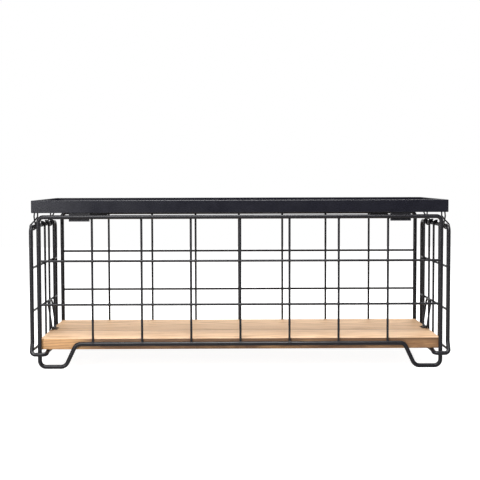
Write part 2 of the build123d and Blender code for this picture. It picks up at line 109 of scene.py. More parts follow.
# ---- Node trees --------------------------------------------------------------------------
class Tree:
    """A material's node tree, with one short method for each kind of node."""

    def __init__(self, name: str) -> None:
        """Start an empty material that ends in a Principled shader."""
        self.material = bpy.data.materials.new(name)
        self.material.use_nodes = True
        self.nodes = self.material.node_tree.nodes
        self.links = self.material.node_tree.links
        self.shader = self.nodes["Principled BSDF"]

    def put(self, socket: bpy.types.NodeSocket, value: object) -> None:
        """Link a socket, or set the number, colour or vector on it.

        Args:
            socket: The input to feed.
            value: An output socket, a number, a colour or a vector.
        """
        if isinstance(value, bpy.types.NodeSocket):
            self.links.new(value, socket)
        elif isinstance(value, tuple) and len(value) == 3 and len(socket.default_value) == 4:
            socket.default_value = (*value, 1.0)
        else:
            socket.default_value = value

    def place(self) -> bpy.types.NodeSocket:
        """Return the object's own coordinates, in metres."""
        return self.nodes.new("ShaderNodeTexCoord").outputs["Object"]

    def split(self, vector: object) -> tuple[bpy.types.NodeSocket, ...]:
        """Return a vector's X, Y and Z.

        Args:
            vector: The socket to split.

        Returns:
            Three sockets.
        """
        node = self.nodes.new("ShaderNodeSeparateXYZ")
        self.put(node.inputs[0], vector)
        return tuple(node.outputs)

    def length(self, vector: object) -> bpy.types.NodeSocket:
        """Return a vector's length.

        Args:
            vector: The socket to measure.

        Returns:
            The length.
        """
        node = self.nodes.new("ShaderNodeVectorMath")
        node.operation = "LENGTH"
        self.put(node.inputs[0], vector)
        return node.outputs["Value"]

    def stretch(self, vector: object, scale: Point = (1.0, 1.0, 1.0), shift: Point = ORIGIN,
                turn: Point = ORIGIN) -> bpy.types.NodeSocket:
        """Scale, turn and shift a vector.

        Args:
            vector: The socket to change.
            scale: Factor along each axis.
            shift: What is added after the scale.
            turn: Turn about each axis in radians, before the shift.

        Returns:
            The changed vector.
        """
        node = self.nodes.new("ShaderNodeMapping")
        self.put(node.inputs["Vector"], vector)
        node.inputs["Scale"].default_value = scale
        node.inputs["Location"].default_value = shift
        node.inputs["Rotation"].default_value = turn
        return node.outputs["Vector"]

    def noise(self, vector: object, scale: float, detail: float = 2.0,
              roughness: float = 0.5) -> bpy.types.NodeSocket:
        """Return fractal noise.

        Args:
            vector: Where it is read.
            scale: Features to the metre.
            detail: Number of finer layers.
            roughness: Share that each finer layer keeps.

        Returns:
            The noise, from 0 to 1.
        """
        node = self.nodes.new("ShaderNodeTexNoise")
        self.put(node.inputs["Vector"], vector)
        node.inputs["Scale"].default_value = scale
        node.inputs["Detail"].default_value = detail
        node.inputs["Roughness"].default_value = roughness
        return node.outputs["Fac"]

    def drawn_noise(self, vector: object, per_metre: Point, shift: Point, detail: float,
                    roughness: float) -> bpy.types.NodeSocket:
        """Return noise whose features are drawn out along some axes.

        Args:
            vector: Where it is read.
            per_metre: Features to the metre along each axis.
            shift: What is added after that, to read another part of the noise.
            detail: Number of finer layers.
            roughness: Share that each finer layer keeps.

        Returns:
            The noise, from 0 to 1.
        """
        return self.noise(self.stretch(vector, per_metre, shift), 1.0, detail, roughness)

    def math(self, operation: str, a: object, b: object = 0.0) -> bpy.types.NodeSocket:
        """Return one arithmetic step.

        Args:
            operation: The Math node's name for it.
            a: First socket or number.
            b: Second socket or number.

        Returns:
            The result.
        """
        node = self.nodes.new("ShaderNodeMath")
        node.operation = operation
        self.put(node.inputs[0], a)
        self.put(node.inputs[1], b)
        return node.outputs[0]

    def span(self, value: object, low: float, high: float, to_low: float = 0.0,
             to_high: float = 1.0, smooth: bool = False) -> bpy.types.NodeSocket:
        """Carry the range low to high onto to_low to to_high, and hold the ends.

        Args:
            value: The socket to change.
            low: Value that becomes to_low.
            high: Value that becomes to_high.
            to_low: Result at and below low.
            to_high: Result at and above high.
            smooth: Ease both ends.

        Returns:
            The changed value.
        """
        node = self.nodes.new("ShaderNodeMapRange")
        node.interpolation_type = "SMOOTHSTEP" if smooth else "LINEAR"
        self.put(node.inputs["Value"], value)
        for key, number in (("From Min", low), ("From Max", high),
                            ("To Min", to_low), ("To Max", to_high)):
            node.inputs[key].default_value = number
        return node.outputs["Result"]

    def mix(self, share: object, a: object, b: object) -> bpy.types.NodeSocket:
        """Return a mix of two colours.

        Args:
            share: How much of b, from 0 to 1.
            a: Colour or socket.
            b: Colour or socket.

        Returns:
            The colour.
        """
        node = self.nodes.new("ShaderNodeMix")
        node.data_type = "RGBA"
        self.put(node.inputs["Factor"], share)
        self.put(node.inputs[MIX_A], a)
        self.put(node.inputs[MIX_B], b)
        return node.outputs[MIX_RESULT]

    def bump(self, height: object, depth: float, normal: object = None) -> bpy.types.NodeSocket:
        """Return a normal that follows a height.

        Args:
            height: Height from 0 to 1.
            depth: What a height of 1 is in metres.
            normal: A normal to start from.

        Returns:
            The normal.
        """
        node = self.nodes.new("ShaderNodeBump")
        node.inputs["Strength"].default_value = 1.0
        node.inputs["Distance"].default_value = depth
        self.put(node.inputs["Height"], height)
        if normal is not None:
            self.put(node.inputs["Normal"], normal)
        return node.outputs["Normal"]


# ---- Finishes ----------------------------------------------------------------------------
@dataclass(frozen=True)
class PowderCoat:
    """Satin charcoal powder coat on steel: orange peel, faint mottling, a little dust.

    Peel is the depth of its fine ripple, and wave that of a broad one, in metres. Polished and
    scuffed are how far its roughness goes below and above its usual value.
    """

    name: str
    colour: Colour = (0.0085, 0.0081, 0.0105)
    dusty: Colour = (0.0135, 0.0129, 0.0160)
    roughness: float = 0.30
    polished: float = 0.06
    scuffed: float = 0.08
    ior: float = 1.36
    mottles_per_metre: float = 38.0
    specks_per_metre: float = 1900.0
    speck_share: float = 0.35
    dust_span: tuple[float, float] = (0.55, 0.95)
    rubs_per_metre: float = 11.0
    rub_shift: Point = (0.3, 0.1, 0.7)
    peel: float = 0.00005
    peel_per_metre: float = 520.0
    wave: float = 0.0
    waves_per_metre: float = 6.0

    def material(self) -> bpy.types.Material:
        """Make the coat.

        Returns:
            The material.
        """
        tree = Tree(self.name)
        place = tree.place()
        mottle = tree.noise(place, self.mottles_per_metre, 4.0, 0.62)
        specks = tree.noise(place, self.specks_per_metre, 1.0)
        dust = tree.math("ADD", mottle, tree.math("MULTIPLY", specks, self.speck_share))
        dust = tree.span(dust, *self.dust_span)
        tree.put(tree.shader.inputs["Base Color"], tree.mix(dust, self.colour, self.dusty))

        rub = tree.stretch(place, shift=self.rub_shift)
        rub = tree.noise(rub, self.rubs_per_metre, 3.0, 0.55)
        smoothest, roughest = self.roughness - self.polished, self.roughness + self.scuffed
        rub = tree.span(rub, *NOISE_MIDDLE, smoothest, roughest)
        tree.put(tree.shader.inputs["Roughness"], rub)

        normal = tree.bump(tree.noise(place, self.peel_per_metre, 2.0, 0.45), self.peel)
        if self.wave:
            broad = tree.noise(place, self.waves_per_metre, 1.0, 0.4)
            normal = tree.bump(broad, self.wave, normal)
        tree.put(tree.shader.inputs["Normal"], normal)
        tree.shader.inputs["IOR"].default_value = self.ior
        return tree.material


@dataclass(frozen=True)
class BlackedSteel:
    """Blacked fastener steel, with bright freckles where the blacking is thin."""

    name: str
    colour: Colour = (0.050, 0.049, 0.052)
    freckle: Colour = (0.16, 0.155, 0.15)
    freckles_per_metre: float = 900.0
    freckle_span: tuple[float, float] = (0.62, 0.75)
    roughness: float = 0.34
    freckle_polish: float = 0.08
    metallic: float = 0.6
    grain: float = 0.00002
    grain_per_metre: float = 1500.0

    def material(self) -> bpy.types.Material:
        """Make the finish.

        Returns:
            The material.
        """
        tree = Tree(self.name)
        place = tree.place()
        thin = tree.noise(place, self.freckles_per_metre, 3.0, 0.6)
        thin = tree.span(thin, *self.freckle_span)
        tree.put(tree.shader.inputs["Base Color"], tree.mix(thin, self.colour, self.freckle))
        polished = self.roughness - self.freckle_polish
        shine = tree.span(thin, 0.0, 1.0, self.roughness, polished)
        tree.put(tree.shader.inputs["Roughness"], shine)
        tree.shader.inputs["Metallic"].default_value = self.metallic
        normal = tree.bump(tree.noise(place, self.grain_per_metre, 1.0), self.grain)
        tree.put(tree.shader.inputs["Normal"], normal)
        return tree.material


@dataclass(frozen=True)
class Knot:
    """A knot that runs down through a board.

    Along and down are the shares of those distances that count, so it is longer along the board
    than across it and reaches through. Its spans are in sizes from its middle.
    """

    x: float
    y: float
    size: float
    along: float = 0.62
    down: float = 0.12
    wander: float = 0.25
    heart: tuple[float, float] = (0.45, 1.15)
    reach: tuple[float, float] = (0.3, 4.5)
    push: float = 2.2


@dataclass(frozen=True)
class Grain:
    """What a board's colours are worked out from: places and patterns, each a socket."""

    place: bpy.types.NodeSocket
    x: bpy.types.NodeSocket
    y: bpy.types.NodeSocket
    z: bpy.types.NodeSocket
    late: bpy.types.NodeSocket
    heart: bpy.types.NodeSocket
    fibre: bpy.types.NodeSocket
    streak: bpy.types.NodeSocket


@dataclass(frozen=True)
class OiledBoard:
    """Oiled softwood, sawn from a log whose pith runs beside the board.

    The rings are cylinders about the pith, so the grain on top, sides and ends belongs together.
    Spans and depths are in metres. The long edge is golden towards its low-X end, fully up to one X
    and fading out by a second: partly the wood's own colour, partly painted light from the left.
    Away from that end the edge darkens towards its top.
    """

    name: str
    pith: tuple[float, float]
    light: Colour
    dark: Colour
    knots: tuple[Knot, ...]
    edge_y: float
    seed: float
    pith_tilt: Point = (0.0, 0.055, 0.028)
    wander: float = 0.016
    ring_width: float = 0.0062
    knot_colour: Colour = (0.16, 0.070, 0.026)
    knot_share: float = 0.85
    seam_y: float = -0.0335
    seam_span: tuple[float, float] = (0.0015, 0.0075)
    seam_fray: float = 0.002
    seam_share: float = 0.9
    seam_colour: Colour = (0.36, 0.175, 0.070)
    edge_light: Colour = (0.66, 0.37, 0.165)
    # The long edge's dark brown: partly the wood's own blotches, partly painted shade, since that
    # upright side gets less light than the top
    edge_dark_and_shade: Colour = (0.200, 0.103, 0.050)
    edge_late: float = 0.4
    edge_span: tuple[float, float] = (0.0002, 0.0014)
    # Where the long edge turns golden towards the low-X end: partly the wood's own colour, partly
    # painted light from the left
    golden_and_lit_end: tuple[float, float] = (-0.43, -0.31)
    golden_and_lit_share: float = 0.80
    top_z: float = 0.072
    # Colour of a darker band along the top of the long edge, over the given depths below the top
    top_band: Colour = (0.105, 0.056, 0.030)
    top_band_depths: tuple[float, float] = (0.014, 0.002)
    top_band_share: float = 0.9
    roughness: tuple[float, float] = (0.40, 0.56)
    relief: float = 0.00012
    relief_shares: tuple[float, float] = (0.7, 0.3)
    ior: float = 1.42

    def material(self) -> bpy.types.Material:
        """Make the wood: the colour of its faces, its long edge and its knots, and its relief.

        Returns:
            The material.
        """
        tree = Tree(self.name)
        grain = self.grain(tree)
        # The long edge is darker than the faces: partly its own blotches, partly painted shade
        from_edge = tree.math("ABSOLUTE", tree.math("SUBTRACT", grain.y, self.edge_y))
        on_edge = tree.span(from_edge, *self.edge_span, 1.0, 0.0, True)
        colour = tree.mix(on_edge, self.face_colour(tree, grain), self.edge_colour(tree, grain))
        heart = tree.math("MULTIPLY", grain.heart, self.knot_share)
        colour = tree.mix(heart, colour, self.knot_colour)
        tree.put(tree.shader.inputs["Base Color"], colour)

        rough = tree.span(grain.fibre, *NOISE_MIDDLE, *self.roughness)
        tree.put(tree.shader.inputs["Roughness"], rough)
        fibres = tree.math("MULTIPLY", grain.fibre, self.relief_shares[0])
        rings = tree.math("MULTIPLY", grain.late, self.relief_shares[1])
        normal = tree.bump(tree.math("ADD", fibres, rings), self.relief)
        tree.put(tree.shader.inputs["Normal"], normal)
        tree.shader.inputs["IOR"].default_value = self.ior
        return tree.material

    def grain(self, tree: Tree) -> Grain:
        """Work out the patterns that the colours share.

        A ring's number is the distance from the pith, plus a slow wander along the log, plus what
        each knot pushes it aside, divided by the width of a ring. Late wood is the dark part of a
        ring: it comes slowly and ends sharply.

        Args:
            tree: The material's tree.

        Returns:
            The places and patterns.
        """
        place = tree.place()
        x, y, z = tree.split(place)
        # The pith isn't quite parallel to the board
        pith_at = (self.seed, -self.pith[0], -self.pith[1])
        log_place = tree.stretch(place, shift=pith_at, turn=self.pith_tilt)
        _, across, up = tree.split(log_place)
        squares = [tree.math("MULTIPLY", side, side) for side in (across, up)]
        radius = tree.math("SQRT", tree.math("ADD", *squares))
        wander = tree.drawn_noise(log_place, (1.6, 9.0, 9.0), ORIGIN, 3.0, 0.5)
        radius = tree.math("ADD", radius, tree.math("MULTIPLY", wander, self.wander))

        heart: object = 0.0
        for knot in self.knots:
            size = knot.size
            shift = (-knot.along * knot.x, -knot.y, 0.0)
            away = tree.length(tree.stretch(place, (knot.along, 1.0, knot.down), shift))
            away = tree.math("ADD", away, tree.math("MULTIPLY", wander, knot.wander * size))
            near, far = (size * bound for bound in knot.reach)
            push = tree.span(away, near, far, knot.push * size, 0.0, True)
            radius = tree.math("ADD", radius, push)
            near, far = (size * bound for bound in knot.heart)
            heart = tree.math("MAXIMUM", heart, tree.span(away, near, far, 1.0, 0.0, True))

        ring = tree.math("FRACT", tree.math("DIVIDE", radius, self.ring_width))
        come = tree.span(ring, 0.25, 0.86, smooth=True)
        end = tree.span(ring, 0.93, 1.0, 1.0, 0.0, True)
        late = tree.math("MULTIPLY", come, end)
        fibre = tree.drawn_noise(place, (9.0, 620.0, 620.0), (self.seed, 0.0, 0.0), 4.0, 0.65)
        streak = tree.drawn_noise(place, (2.2, 95.0, 95.0), (0.0, self.seed, 0.0), 3.0, 0.6)
        return Grain(place, x, y, z, late, heart, fibre, streak)

    def face_colour(self, tree: Tree, grain: Grain) -> bpy.types.NodeSocket:
        """Return the faces' colour: rings, fibres, clouds, dashes and the glued seam.

        Args:
            tree: The material's tree.
            grain: The board's patterns.

        Returns:
            The colour.
        """
        cloud = tree.drawn_noise(
            grain.place, (3.5, 30.0, 34.0), (self.seed, 0.0, 0.0), 4.0, 0.70
        )
        dash = tree.drawn_noise(grain.place, (8.0, 90.0, 90.0), (0.0, 0.0, self.seed), 3.0, 0.7)
        worn = tree.span(grain.streak, *NOISE_MIDDLE, 0.25, 0.75)
        share = tree.math("MULTIPLY", grain.late, worn)
        for pattern, *span in (
            (grain.fibre, 0.35, 0.75, -0.10, 0.30),
            (cloud, 0.35, 0.65, -0.45, 0.45),
            (dash, 0.50, 0.66, -0.05, 0.60),
        ):
            share = tree.math("ADD", share, tree.span(pattern, *span))
        colour = tree.mix(share, self.light, self.dark)

        from_seam = tree.math("ABSOLUTE", tree.math("SUBTRACT", grain.y, self.seam_y))
        fray = tree.span(grain.streak, *NOISE_MIDDLE, 0.0, self.seam_fray)
        from_seam = tree.math("ADD", from_seam, fray)
        seam = tree.span(from_seam, *self.seam_span, self.seam_share, 0.0)
        return tree.mix(seam, colour, self.seam_colour)

    def edge_colour(self, tree: Tree, grain: Grain) -> bpy.types.NodeSocket:
        """Return the long edge's colour: dark and blotchy, partly painted shade; golden in blotches
        and towards the low-X end, partly painted light there.

        Args:
            tree: The material's tree.
            grain: The board's patterns.

        Returns:
            The colour.
        """
        blotch = tree.drawn_noise(
            grain.place, (11.0, 8.0, 46.0), (0.0, 0.0, self.seed), 4.0, 0.6
        )
        golden = tree.span(blotch, 0.44, 0.72, 0.0, 0.7)
        golden = tree.math("ADD", golden, tree.span(grain.streak, 0.4, 0.7, -0.2, 0.2))
        # The low-X end of the edge turns golden: partly the wood's own colour, partly painted light
        # from the left
        golden_and_lit = tree.span(grain.x, *self.golden_and_lit_end, self.golden_and_lit_share, 0.0, True)
        colour = tree.mix(tree.math("ADD", golden, golden_and_lit), self.edge_dark_and_shade, self.edge_light)
        # The edge darkens towards its top, from the first depth below it to the second, except at
        # the golden end
        band_low_z, band_high_z = (self.top_z - depth for depth in self.top_band_depths)
        top_band = tree.span(grain.z, band_low_z, band_high_z, 0.0, self.top_band_share)
        top_band = tree.math("MULTIPLY", top_band, tree.math("SUBTRACT", 1.0, golden_and_lit))
        colour = tree.mix(top_band, colour, self.top_band)
        late = tree.math("MULTIPLY", grain.late, self.edge_late)
        return tree.mix(late, colour, self.edge_dark_and_shade)


# ---- Surfaces ----------------------------------------------------------------------------
def grid_faces(rows: int, columns: int, rows_close: bool = False) -> np.ndarray:
    """Return the quads of a grid whose columns close into rings.

    Face (i, j) joins the points (i, j), (i, j+1), (i+1, j+1) and (i+1, j), and the last column
    joins the first. With rows_close, the last row joins the first too.

    Args:
        rows: Number of rings.
        columns: Points in a ring.
        rows_close: Join the last ring to the first.

    Returns:
        An array of four point numbers for each quad.
    """
    i = np.arange(rows if rows_close else rows - 1)[:, None]
    j = np.arange(columns)[None, :]
    here, there = i * columns, ((i + 1) % rows) * columns
    nxt = (j + 1) % columns
    return np.stack([here + j, here + nxt, there + nxt, there + j], axis=-1).reshape(-1, 4)


def repeat_faces(faces: np.ndarray, points_each: int, copies: int) -> np.ndarray:
    """Return the same faces for each of several copies that lie one after another."""
    shifts = np.arange(copies)[:, None, None] * points_each
    return (faces[None] + shifts).reshape(-1, faces.shape[1])


def make_piece(name: str, points: np.ndarray, faces: np.ndarray, body: Body,
               material: bpy.types.Material, replaces: tuple[str, ...] = ()) -> bpy.types.Object:
    """Make a smooth mesh object from points and quads and put it on its body.

    Args:
        name: The piece's name.
        points: Points in the last axis, in metres.
        faces: Point numbers, four to a face.
        body: What it rides on.
        material: Its material.
        replaces: CAD nodes that it stands for.

    Returns:
        The new object.
    """
    mesh = bpy.data.meshes.new(name)
    mesh.from_pydata(points.reshape(-1, 3), [], faces.tolist())
    mesh.polygons.foreach_set("use_smooth", np.ones(len(faces), bool))
    mesh.materials.append(material)
    mesh.update()
    piece = bpy.data.objects.new(name, mesh)
    bpy.context.scene.collection.objects.link(piece)
    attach(piece, body.value)
    if replaces:
        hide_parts(*replaces)
    log.info("%s: %d points, rides on %s", name, len(mesh.vertices), body.value)
    return piece


def dress(nodes: tuple[str, ...], material: bpy.types.Material) -> None:
    """Give CAD nodes their finish.

    Args:
        nodes: The nodes' names.
        material: The finish.
    """
    for name in nodes:
        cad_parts[name].material_slots[0].material = material
        log.info("%s: %s", name, material.name)


def unit(vectors: np.ndarray) -> np.ndarray:
    """Return vectors of length one."""
    return vectors / np.linalg.norm(vectors, axis=-1, keepdims=True)


def corners_of(node: str) -> tuple[np.ndarray, np.ndarray]:
    """Return the low and the high corner of a CAD node's box."""
    low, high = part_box(node)
    return np.array(low), np.array(high)


def points_of(x: ArrayLike, y: ArrayLike, z: ArrayLike) -> np.ndarray:
    """Return points from coordinates, which are numbers or arrays that fit each other."""
    return np.stack(np.broadcast_arrays(x, y, z), axis=-1)


def route(corners: np.ndarray, radii: np.ndarray, arc_steps: int = 10) -> np.ndarray:
    """Return the points of straight runs joined by tangent arcs.

    At a corner, an arc of radius r that turns by an angle t starts r * tan(t / 2) before it. Its
    points are centre + r * (cos a * out + sin a * along), with a from 0 to t.

    Args:
        corners: The corners, ends included.
        radii: One radius for each inner corner.
        arc_steps: Steps in each arc.

    Returns:
        Points along the route.
    """
    into = unit(corners[1:-1] - corners[:-2])
    leave = unit(corners[2:] - corners[1:-1])
    turn = np.arccos(np.clip((into * leave).sum(-1), -1.0, 1.0))
    start = corners[1:-1] - into * (radii * np.tan(turn / 2))[:, None]
    across = unit(leave - into * (into * leave).sum(-1, keepdims=True))
    centre = start + across * radii[:, None]
    angle = turn[:, None] * np.linspace(0.0, 1.0, arc_steps + 1)[None, :]
    arcs = (
        centre[:, None]
        - radii[:, None, None] * across[:, None] * np.cos(angle)[..., None]
        + radii[:, None, None] * into[:, None] * np.sin(angle)[..., None]
    )
    return np.concatenate([corners[:1], arcs.reshape(-1, 3), corners[-1:]])


def tube(path: np.ndarray, radius: float, sides: int = 20, dome: float = 0.5,
         guide: Point = (0.31, 0.83, 0.46)) -> Surface:
    """Return a round wire along a path, with domed ends.

    Each ring is path + r * (cos a * n + sin a * b), with n and b square to the path. Over the last
    dome * radius at an end the rings shrink as a quarter ellipse, sqrt(1 - s * s), to a pole.

    Args:
        path: Points along the centreline.
        radius: The wire's radius.
        sides: Points in a ring.
        dome: Height of an end's dome, as a share of the radius.
        guide: A direction that the path never follows.

    Returns:
        Points and quads.
    """
    along = unit(np.gradient(path, axis=0))
    steps = np.linspace(0.0, 1.0, DOME_RINGS)
    share = np.sqrt(np.clip(1.0 - (1.0 - steps) ** 2, POLE_SHARE**2, 1.0))
    reach = (1.0 - steps) * dome * radius
    head = path[0] - along[0] * (reach - dome * radius)[:, None]
    tail = path[-1] + along[-1] * (reach - dome * radius)[::-1, None]
    centre = np.concatenate([head, path[1:-1], tail])
    direction = np.concatenate([
        np.repeat(along[:1], DOME_RINGS, 0), along[1:-1], np.repeat(along[-1:], DOME_RINGS, 0)
    ])
    size = radius * np.concatenate([share, np.ones(len(path) - 2), share[::-1]])
    normal = unit(np.cross(direction, np.array(guide)))
    binormal = np.cross(direction, normal)
    angle = np.linspace(0.0, 2.0 * np.pi, sides, endpoint=False)
    ring = (
        normal[:, None] * np.cos(angle)[None, :, None]
        + binormal[:, None] * np.sin(angle)[None, :, None]
    )
    points = centre[:, None] + size[:, None, None] * ring
    return points, grid_faces(len(centre), sides)


def weld_collars(feet: np.ndarray, rod_axis: Point, wire_axis: Point, offset: float,
                 rod_radius: float, wire_radius: float, seed: int) -> Surface:
    """Return a fillet weld round each wire end that stands on a rod.

    For an angle a round the wire and a step t up the fillet, the distance from the wire's axis is
    wire + leg * (1 - t)^2, and the height above the rod's axis is sqrt(rod^2 - v^2) + leg * t^2,
    where v is how far the point lies to the side of the rod. The leg varies slowly with a.

    Args:
        feet: Points on the rods' axes under the wires.
        rod_axis: Direction of the rods.
        wire_axis: Direction from each rod along its wire.
        offset: How far each collar stands to the side of its rod, along wire x rod.
        rod_radius: The rods' radius.
        wire_radius: The wires' radius.
        seed: Number that fixes the uneven legs.

    Returns:
        Points and quads of closed rings.
    """
    rng = np.random.default_rng(seed)
    count = len(feet)
    rod, wire = np.array(rod_axis, float), np.array(wire_axis, float)
    side = np.cross(wire, rod)
    angle = np.linspace(0.0, 2.0 * np.pi, COLLAR_SIDES, endpoint=False)[None, None, :]
    step = np.linspace(0.0, 1.0, COLLAR_RINGS)[None, :, None]
    phase = rng.uniform(0.0, 2.0 * np.pi, (count, 1, 1))
    one, three = LEG_WAVES
    leg = FILLET_LEG * (
        1.0 + one * np.sin(angle + phase) + three * np.sin(3 * angle + 2.3 * phase)
    ) * rng.uniform(*LEG_SPREAD, (count, 1, 1))
    reach = wire_radius + leg * (1.0 - step) ** 2
    climb = leg * step**2
    # Two more rings close each collar inside its wire and its rod
    inner = np.full((count, 2, COLLAR_SIDES), FILLET_INSIDE * wire_radius)
    reach = np.concatenate([reach, inner], axis=1)
    climb = np.concatenate([climb, climb[:, -1:], climb[:, :1] - FILLET_CORE], axis=1)
    limit = rod_radius - ROD_MARGIN
    v = np.clip(offset + reach * np.sin(angle), -limit, limit)
    height = np.sqrt(rod_radius**2 - v**2) + climb - FILLET_BITE
    points = (
        feet[:, None, None]
        + rod * (reach * np.cos(angle))[..., None]
        + side * v[..., None]
        + wire * height[..., None]
    )
    rows = points.shape[1]
    faces = grid_faces(rows, COLLAR_SIDES, rows_close=True)
    return points, repeat_faces(faces, rows * COLLAR_SIDES, count)


def weld_nuggets(centres: np.ndarray, radii: Point, seed: int) -> Surface:
    """Return the squeezed-out metal where two wires cross and are welded.

    Each is an ellipsoid, radii * (sin p cos a, sin p sin a, cos p), with a slightly uneven size.

    Args:
        centres: Where the wires touch.
        radii: Half its size along X, Y and Z.
        seed: Number that fixes the uneven sizes.

    Returns:
        Points and quads of closed ellipsoids.
    """
    rng = np.random.default_rng(seed)
    polar = np.linspace(POLE_SHARE, np.pi - POLE_SHARE, NUGGET_RINGS)[:, None]
    angle = np.linspace(0.0, 2.0 * np.pi, NUGGET_SIDES, endpoint=False)[None, :]
    ball = points_of(np.sin(polar) * np.cos(angle), np.sin(polar) * np.sin(angle), np.cos(polar))
    size = np.array(radii) * rng.uniform(*NUGGET_SPREAD, (len(centres), 1, 1, 3))
    points = centres[:, None, None] + size * ball[None]
    faces = grid_faces(NUGGET_RINGS, NUGGET_SIDES)
    return points, repeat_faces(faces, NUGGET_RINGS * NUGGET_SIDES, len(centres))


def joined(parts: list[Surface]) -> Surface:
    """Join several surfaces into one.

    Args:
        parts: Points and quads of each.

    Returns:
        All points and all quads.
    """
    points, faces, count = [], [], 0
    for some_points, some_faces in parts:
        flat = some_points.reshape(-1, 3)
        points.append(flat)
        faces.append(some_faces + count)
        count += len(flat)
    return np.concatenate(points), np.concatenate(faces)


# ---- Sub-assemblies ----------------------------------------------------------------------
@dataclass
class SeatTop:
    """The rim, its bearers and the lift-out seat panel."""

    rim_coat: PowderCoat = PowderCoat(
        "rim_coat", (0.0065, 0.0065, 0.0112), (0.0100, 0.0100, 0.0160), wave=0.0004
    )
    panel_coat: PowderCoat = PowderCoat("panel_coat", roughness=0.46, wave=0.0012)

    def build(self) -> None:
        """Dress the rim and the panel."""
        dress(("seat_rim", "seat_rim_ledge", "seat_bearers"), self.rim_coat.material())
        panel = ("seat_panel", "seat_panel_bars", "seat_panel_stiffeners")
        dress(panel, self.panel_coat.material())


@dataclass
class LongPanel:
    """The front or the back panel: one bent rod, seven uprights and two cross wires."""

    name: str
    outward: int
    rod_coat: bpy.types.Material
    wire_coat: bpy.types.Material
    upright_count: int = 7
    weld_sink: float = 0.15 * MM
    nugget: Point = (2.7 * MM, 1.5 * MM, 2.7 * MM)
    rail_seed: int = 11
    leg_seed: int = 23
    nugget_seed: int = 31

    def build(self) -> None:
        """Dress the panel and weld its wires."""
        dress((f"{self.name}_frame",), self.rod_coat)
        dress((f"{self.name}_upright_wires", f"{self.name}_cross_wires"), self.wire_coat)
        self.build_welds()

    def build_welds(self) -> None:
        """Make a fillet at each wire end and a nugget at each crossing."""
        low, high = corners_of(f"{self.name}_frame")
        wires_low, wires_high = corners_of(f"{self.name}_upright_wires")
        cross_low, cross_high = corners_of(f"{self.name}_cross_wires")
        rod_r = (high[1] - low[1]) / 2
        wire_r = (wires_high[1] - wires_low[1]) / 2
        rod_y = (high[1] + low[1]) / 2
        upright_x = np.linspace(wires_low[0] + wire_r, wires_high[0] - wire_r, self.upright_count)
        cross_z = np.array([cross_low[2] + wire_r, cross_high[2] - wire_r])
        leg_x, top_z = high[0] - rod_r, high[2] - rod_r
        rail_z = wires_low[2] - math.sqrt(rod_r**2 - wire_r**2) + self.weld_sink

        parts = []
        # FIXME: the uprights stand inside the rods' axes, and this offset puts their collars
        # outside them: its sign is wrong
        for z, up in ((rail_z, 1.0), (top_z, -1.0)):
            parts.append(weld_collars(
                points_of(upright_x, rod_y, z), (1.0, 0.0, 0.0), (0.0, 0.0, up),
                up * self.outward * wire_r, rod_r, wire_r, self.rail_seed + int(z * 100),
            ))
        for x, along in ((-leg_x, 1.0), (leg_x, -1.0)):
            parts.append(weld_collars(
                points_of(x, rod_y, cross_z), (0.0, 0.0, 1.0), (along, 0.0, 0.0),
                -along * self.outward * wire_r, rod_r, wire_r, self.leg_seed + int(along),
            ))
        x, z = np.meshgrid(upright_x, cross_z)
        centres = points_of(x.ravel(), rod_y, z.ravel())
        parts.append(weld_nuggets(centres, self.nugget, self.nugget_seed))
        points, faces = joined(parts)
        make_piece(
            f"{self.name}_panel_welds", points, faces, Body.FRAME, self.wire_coat
        )


@dataclass
class EndPanel:
    """An end panel: the rod that wraps round both legs, hooked uprights and cross wires."""

    name: str
    side: int
    rod_coat: bpy.types.Material
    wire_coat: bpy.types.Material
    uprights_y: tuple[float, ...] = (-0.103, -0.030, 0.030, 0.103)
    middle_cross_z: float = 0.140
    rod_y: float = 0.1775
    nugget: Point = (1.5 * MM, 2.7 * MM, 2.7 * MM)
    nugget_seed: int = 41
    rod_seed: int = 53

    def build(self) -> None:
        """Dress the panel and weld its wires."""
        dress((f"{self.name}_end_frame",), self.rod_coat)
        dress((f"{self.name}_end_uprights", f"{self.name}_end_cross_wires"), self.wire_coat)
        self.build_welds()

    def build_welds(self) -> None:
        """Make a nugget at each crossing, and a fillet at the upper two cross wires' ends.

        The lowest cross wire meets the rod where it leans outwards, and has no fillet.
        """
        low, high = corners_of(f"{self.name}_end_frame")
        cross_low, cross_high = corners_of(f"{self.name}_end_cross_wires")
        wire_r = (cross_high[0] - cross_low[0]) / 2
        cross_x = (cross_low[0] + cross_high[0]) / 2
        cross_z = np.array([cross_low[2] + wire_r, self.middle_cross_z, cross_high[2] - wire_r])
        # The end rods are as thick as the long panels' rods
        rod_low, rod_high = corners_of("front_frame")
        rod_r = (rod_high[1] - rod_low[1]) / 2
        rod_x = (high[0] - rod_r) if self.side > 0 else (low[0] + rod_r)
        y, z = np.meshgrid(np.array(self.uprights_y), cross_z)
        centres = points_of(cross_x - self.side * wire_r, y.ravel(), z.ravel())
        parts = [weld_nuggets(centres, self.nugget, self.nugget_seed)]
        # FIXME: the cross wires stand inside the rod's axis, and this offset puts their collars
        # outside it: its sign is wrong
        for rod_y, along in ((-self.rod_y, 1.0), (self.rod_y, -1.0)):
            parts.append(weld_collars(
                points_of(rod_x, rod_y, cross_z[1:]), (0.0, 0.0, 1.0), (0.0, along, 0.0),
                (cross_x - rod_x) * -along, rod_r, wire_r, self.rod_seed + int(along),
            ))
        points, faces = joined(parts)
        make_piece(
            f"{self.name}_end_welds", points, faces, Body.FRAME, self.wire_coat
        )


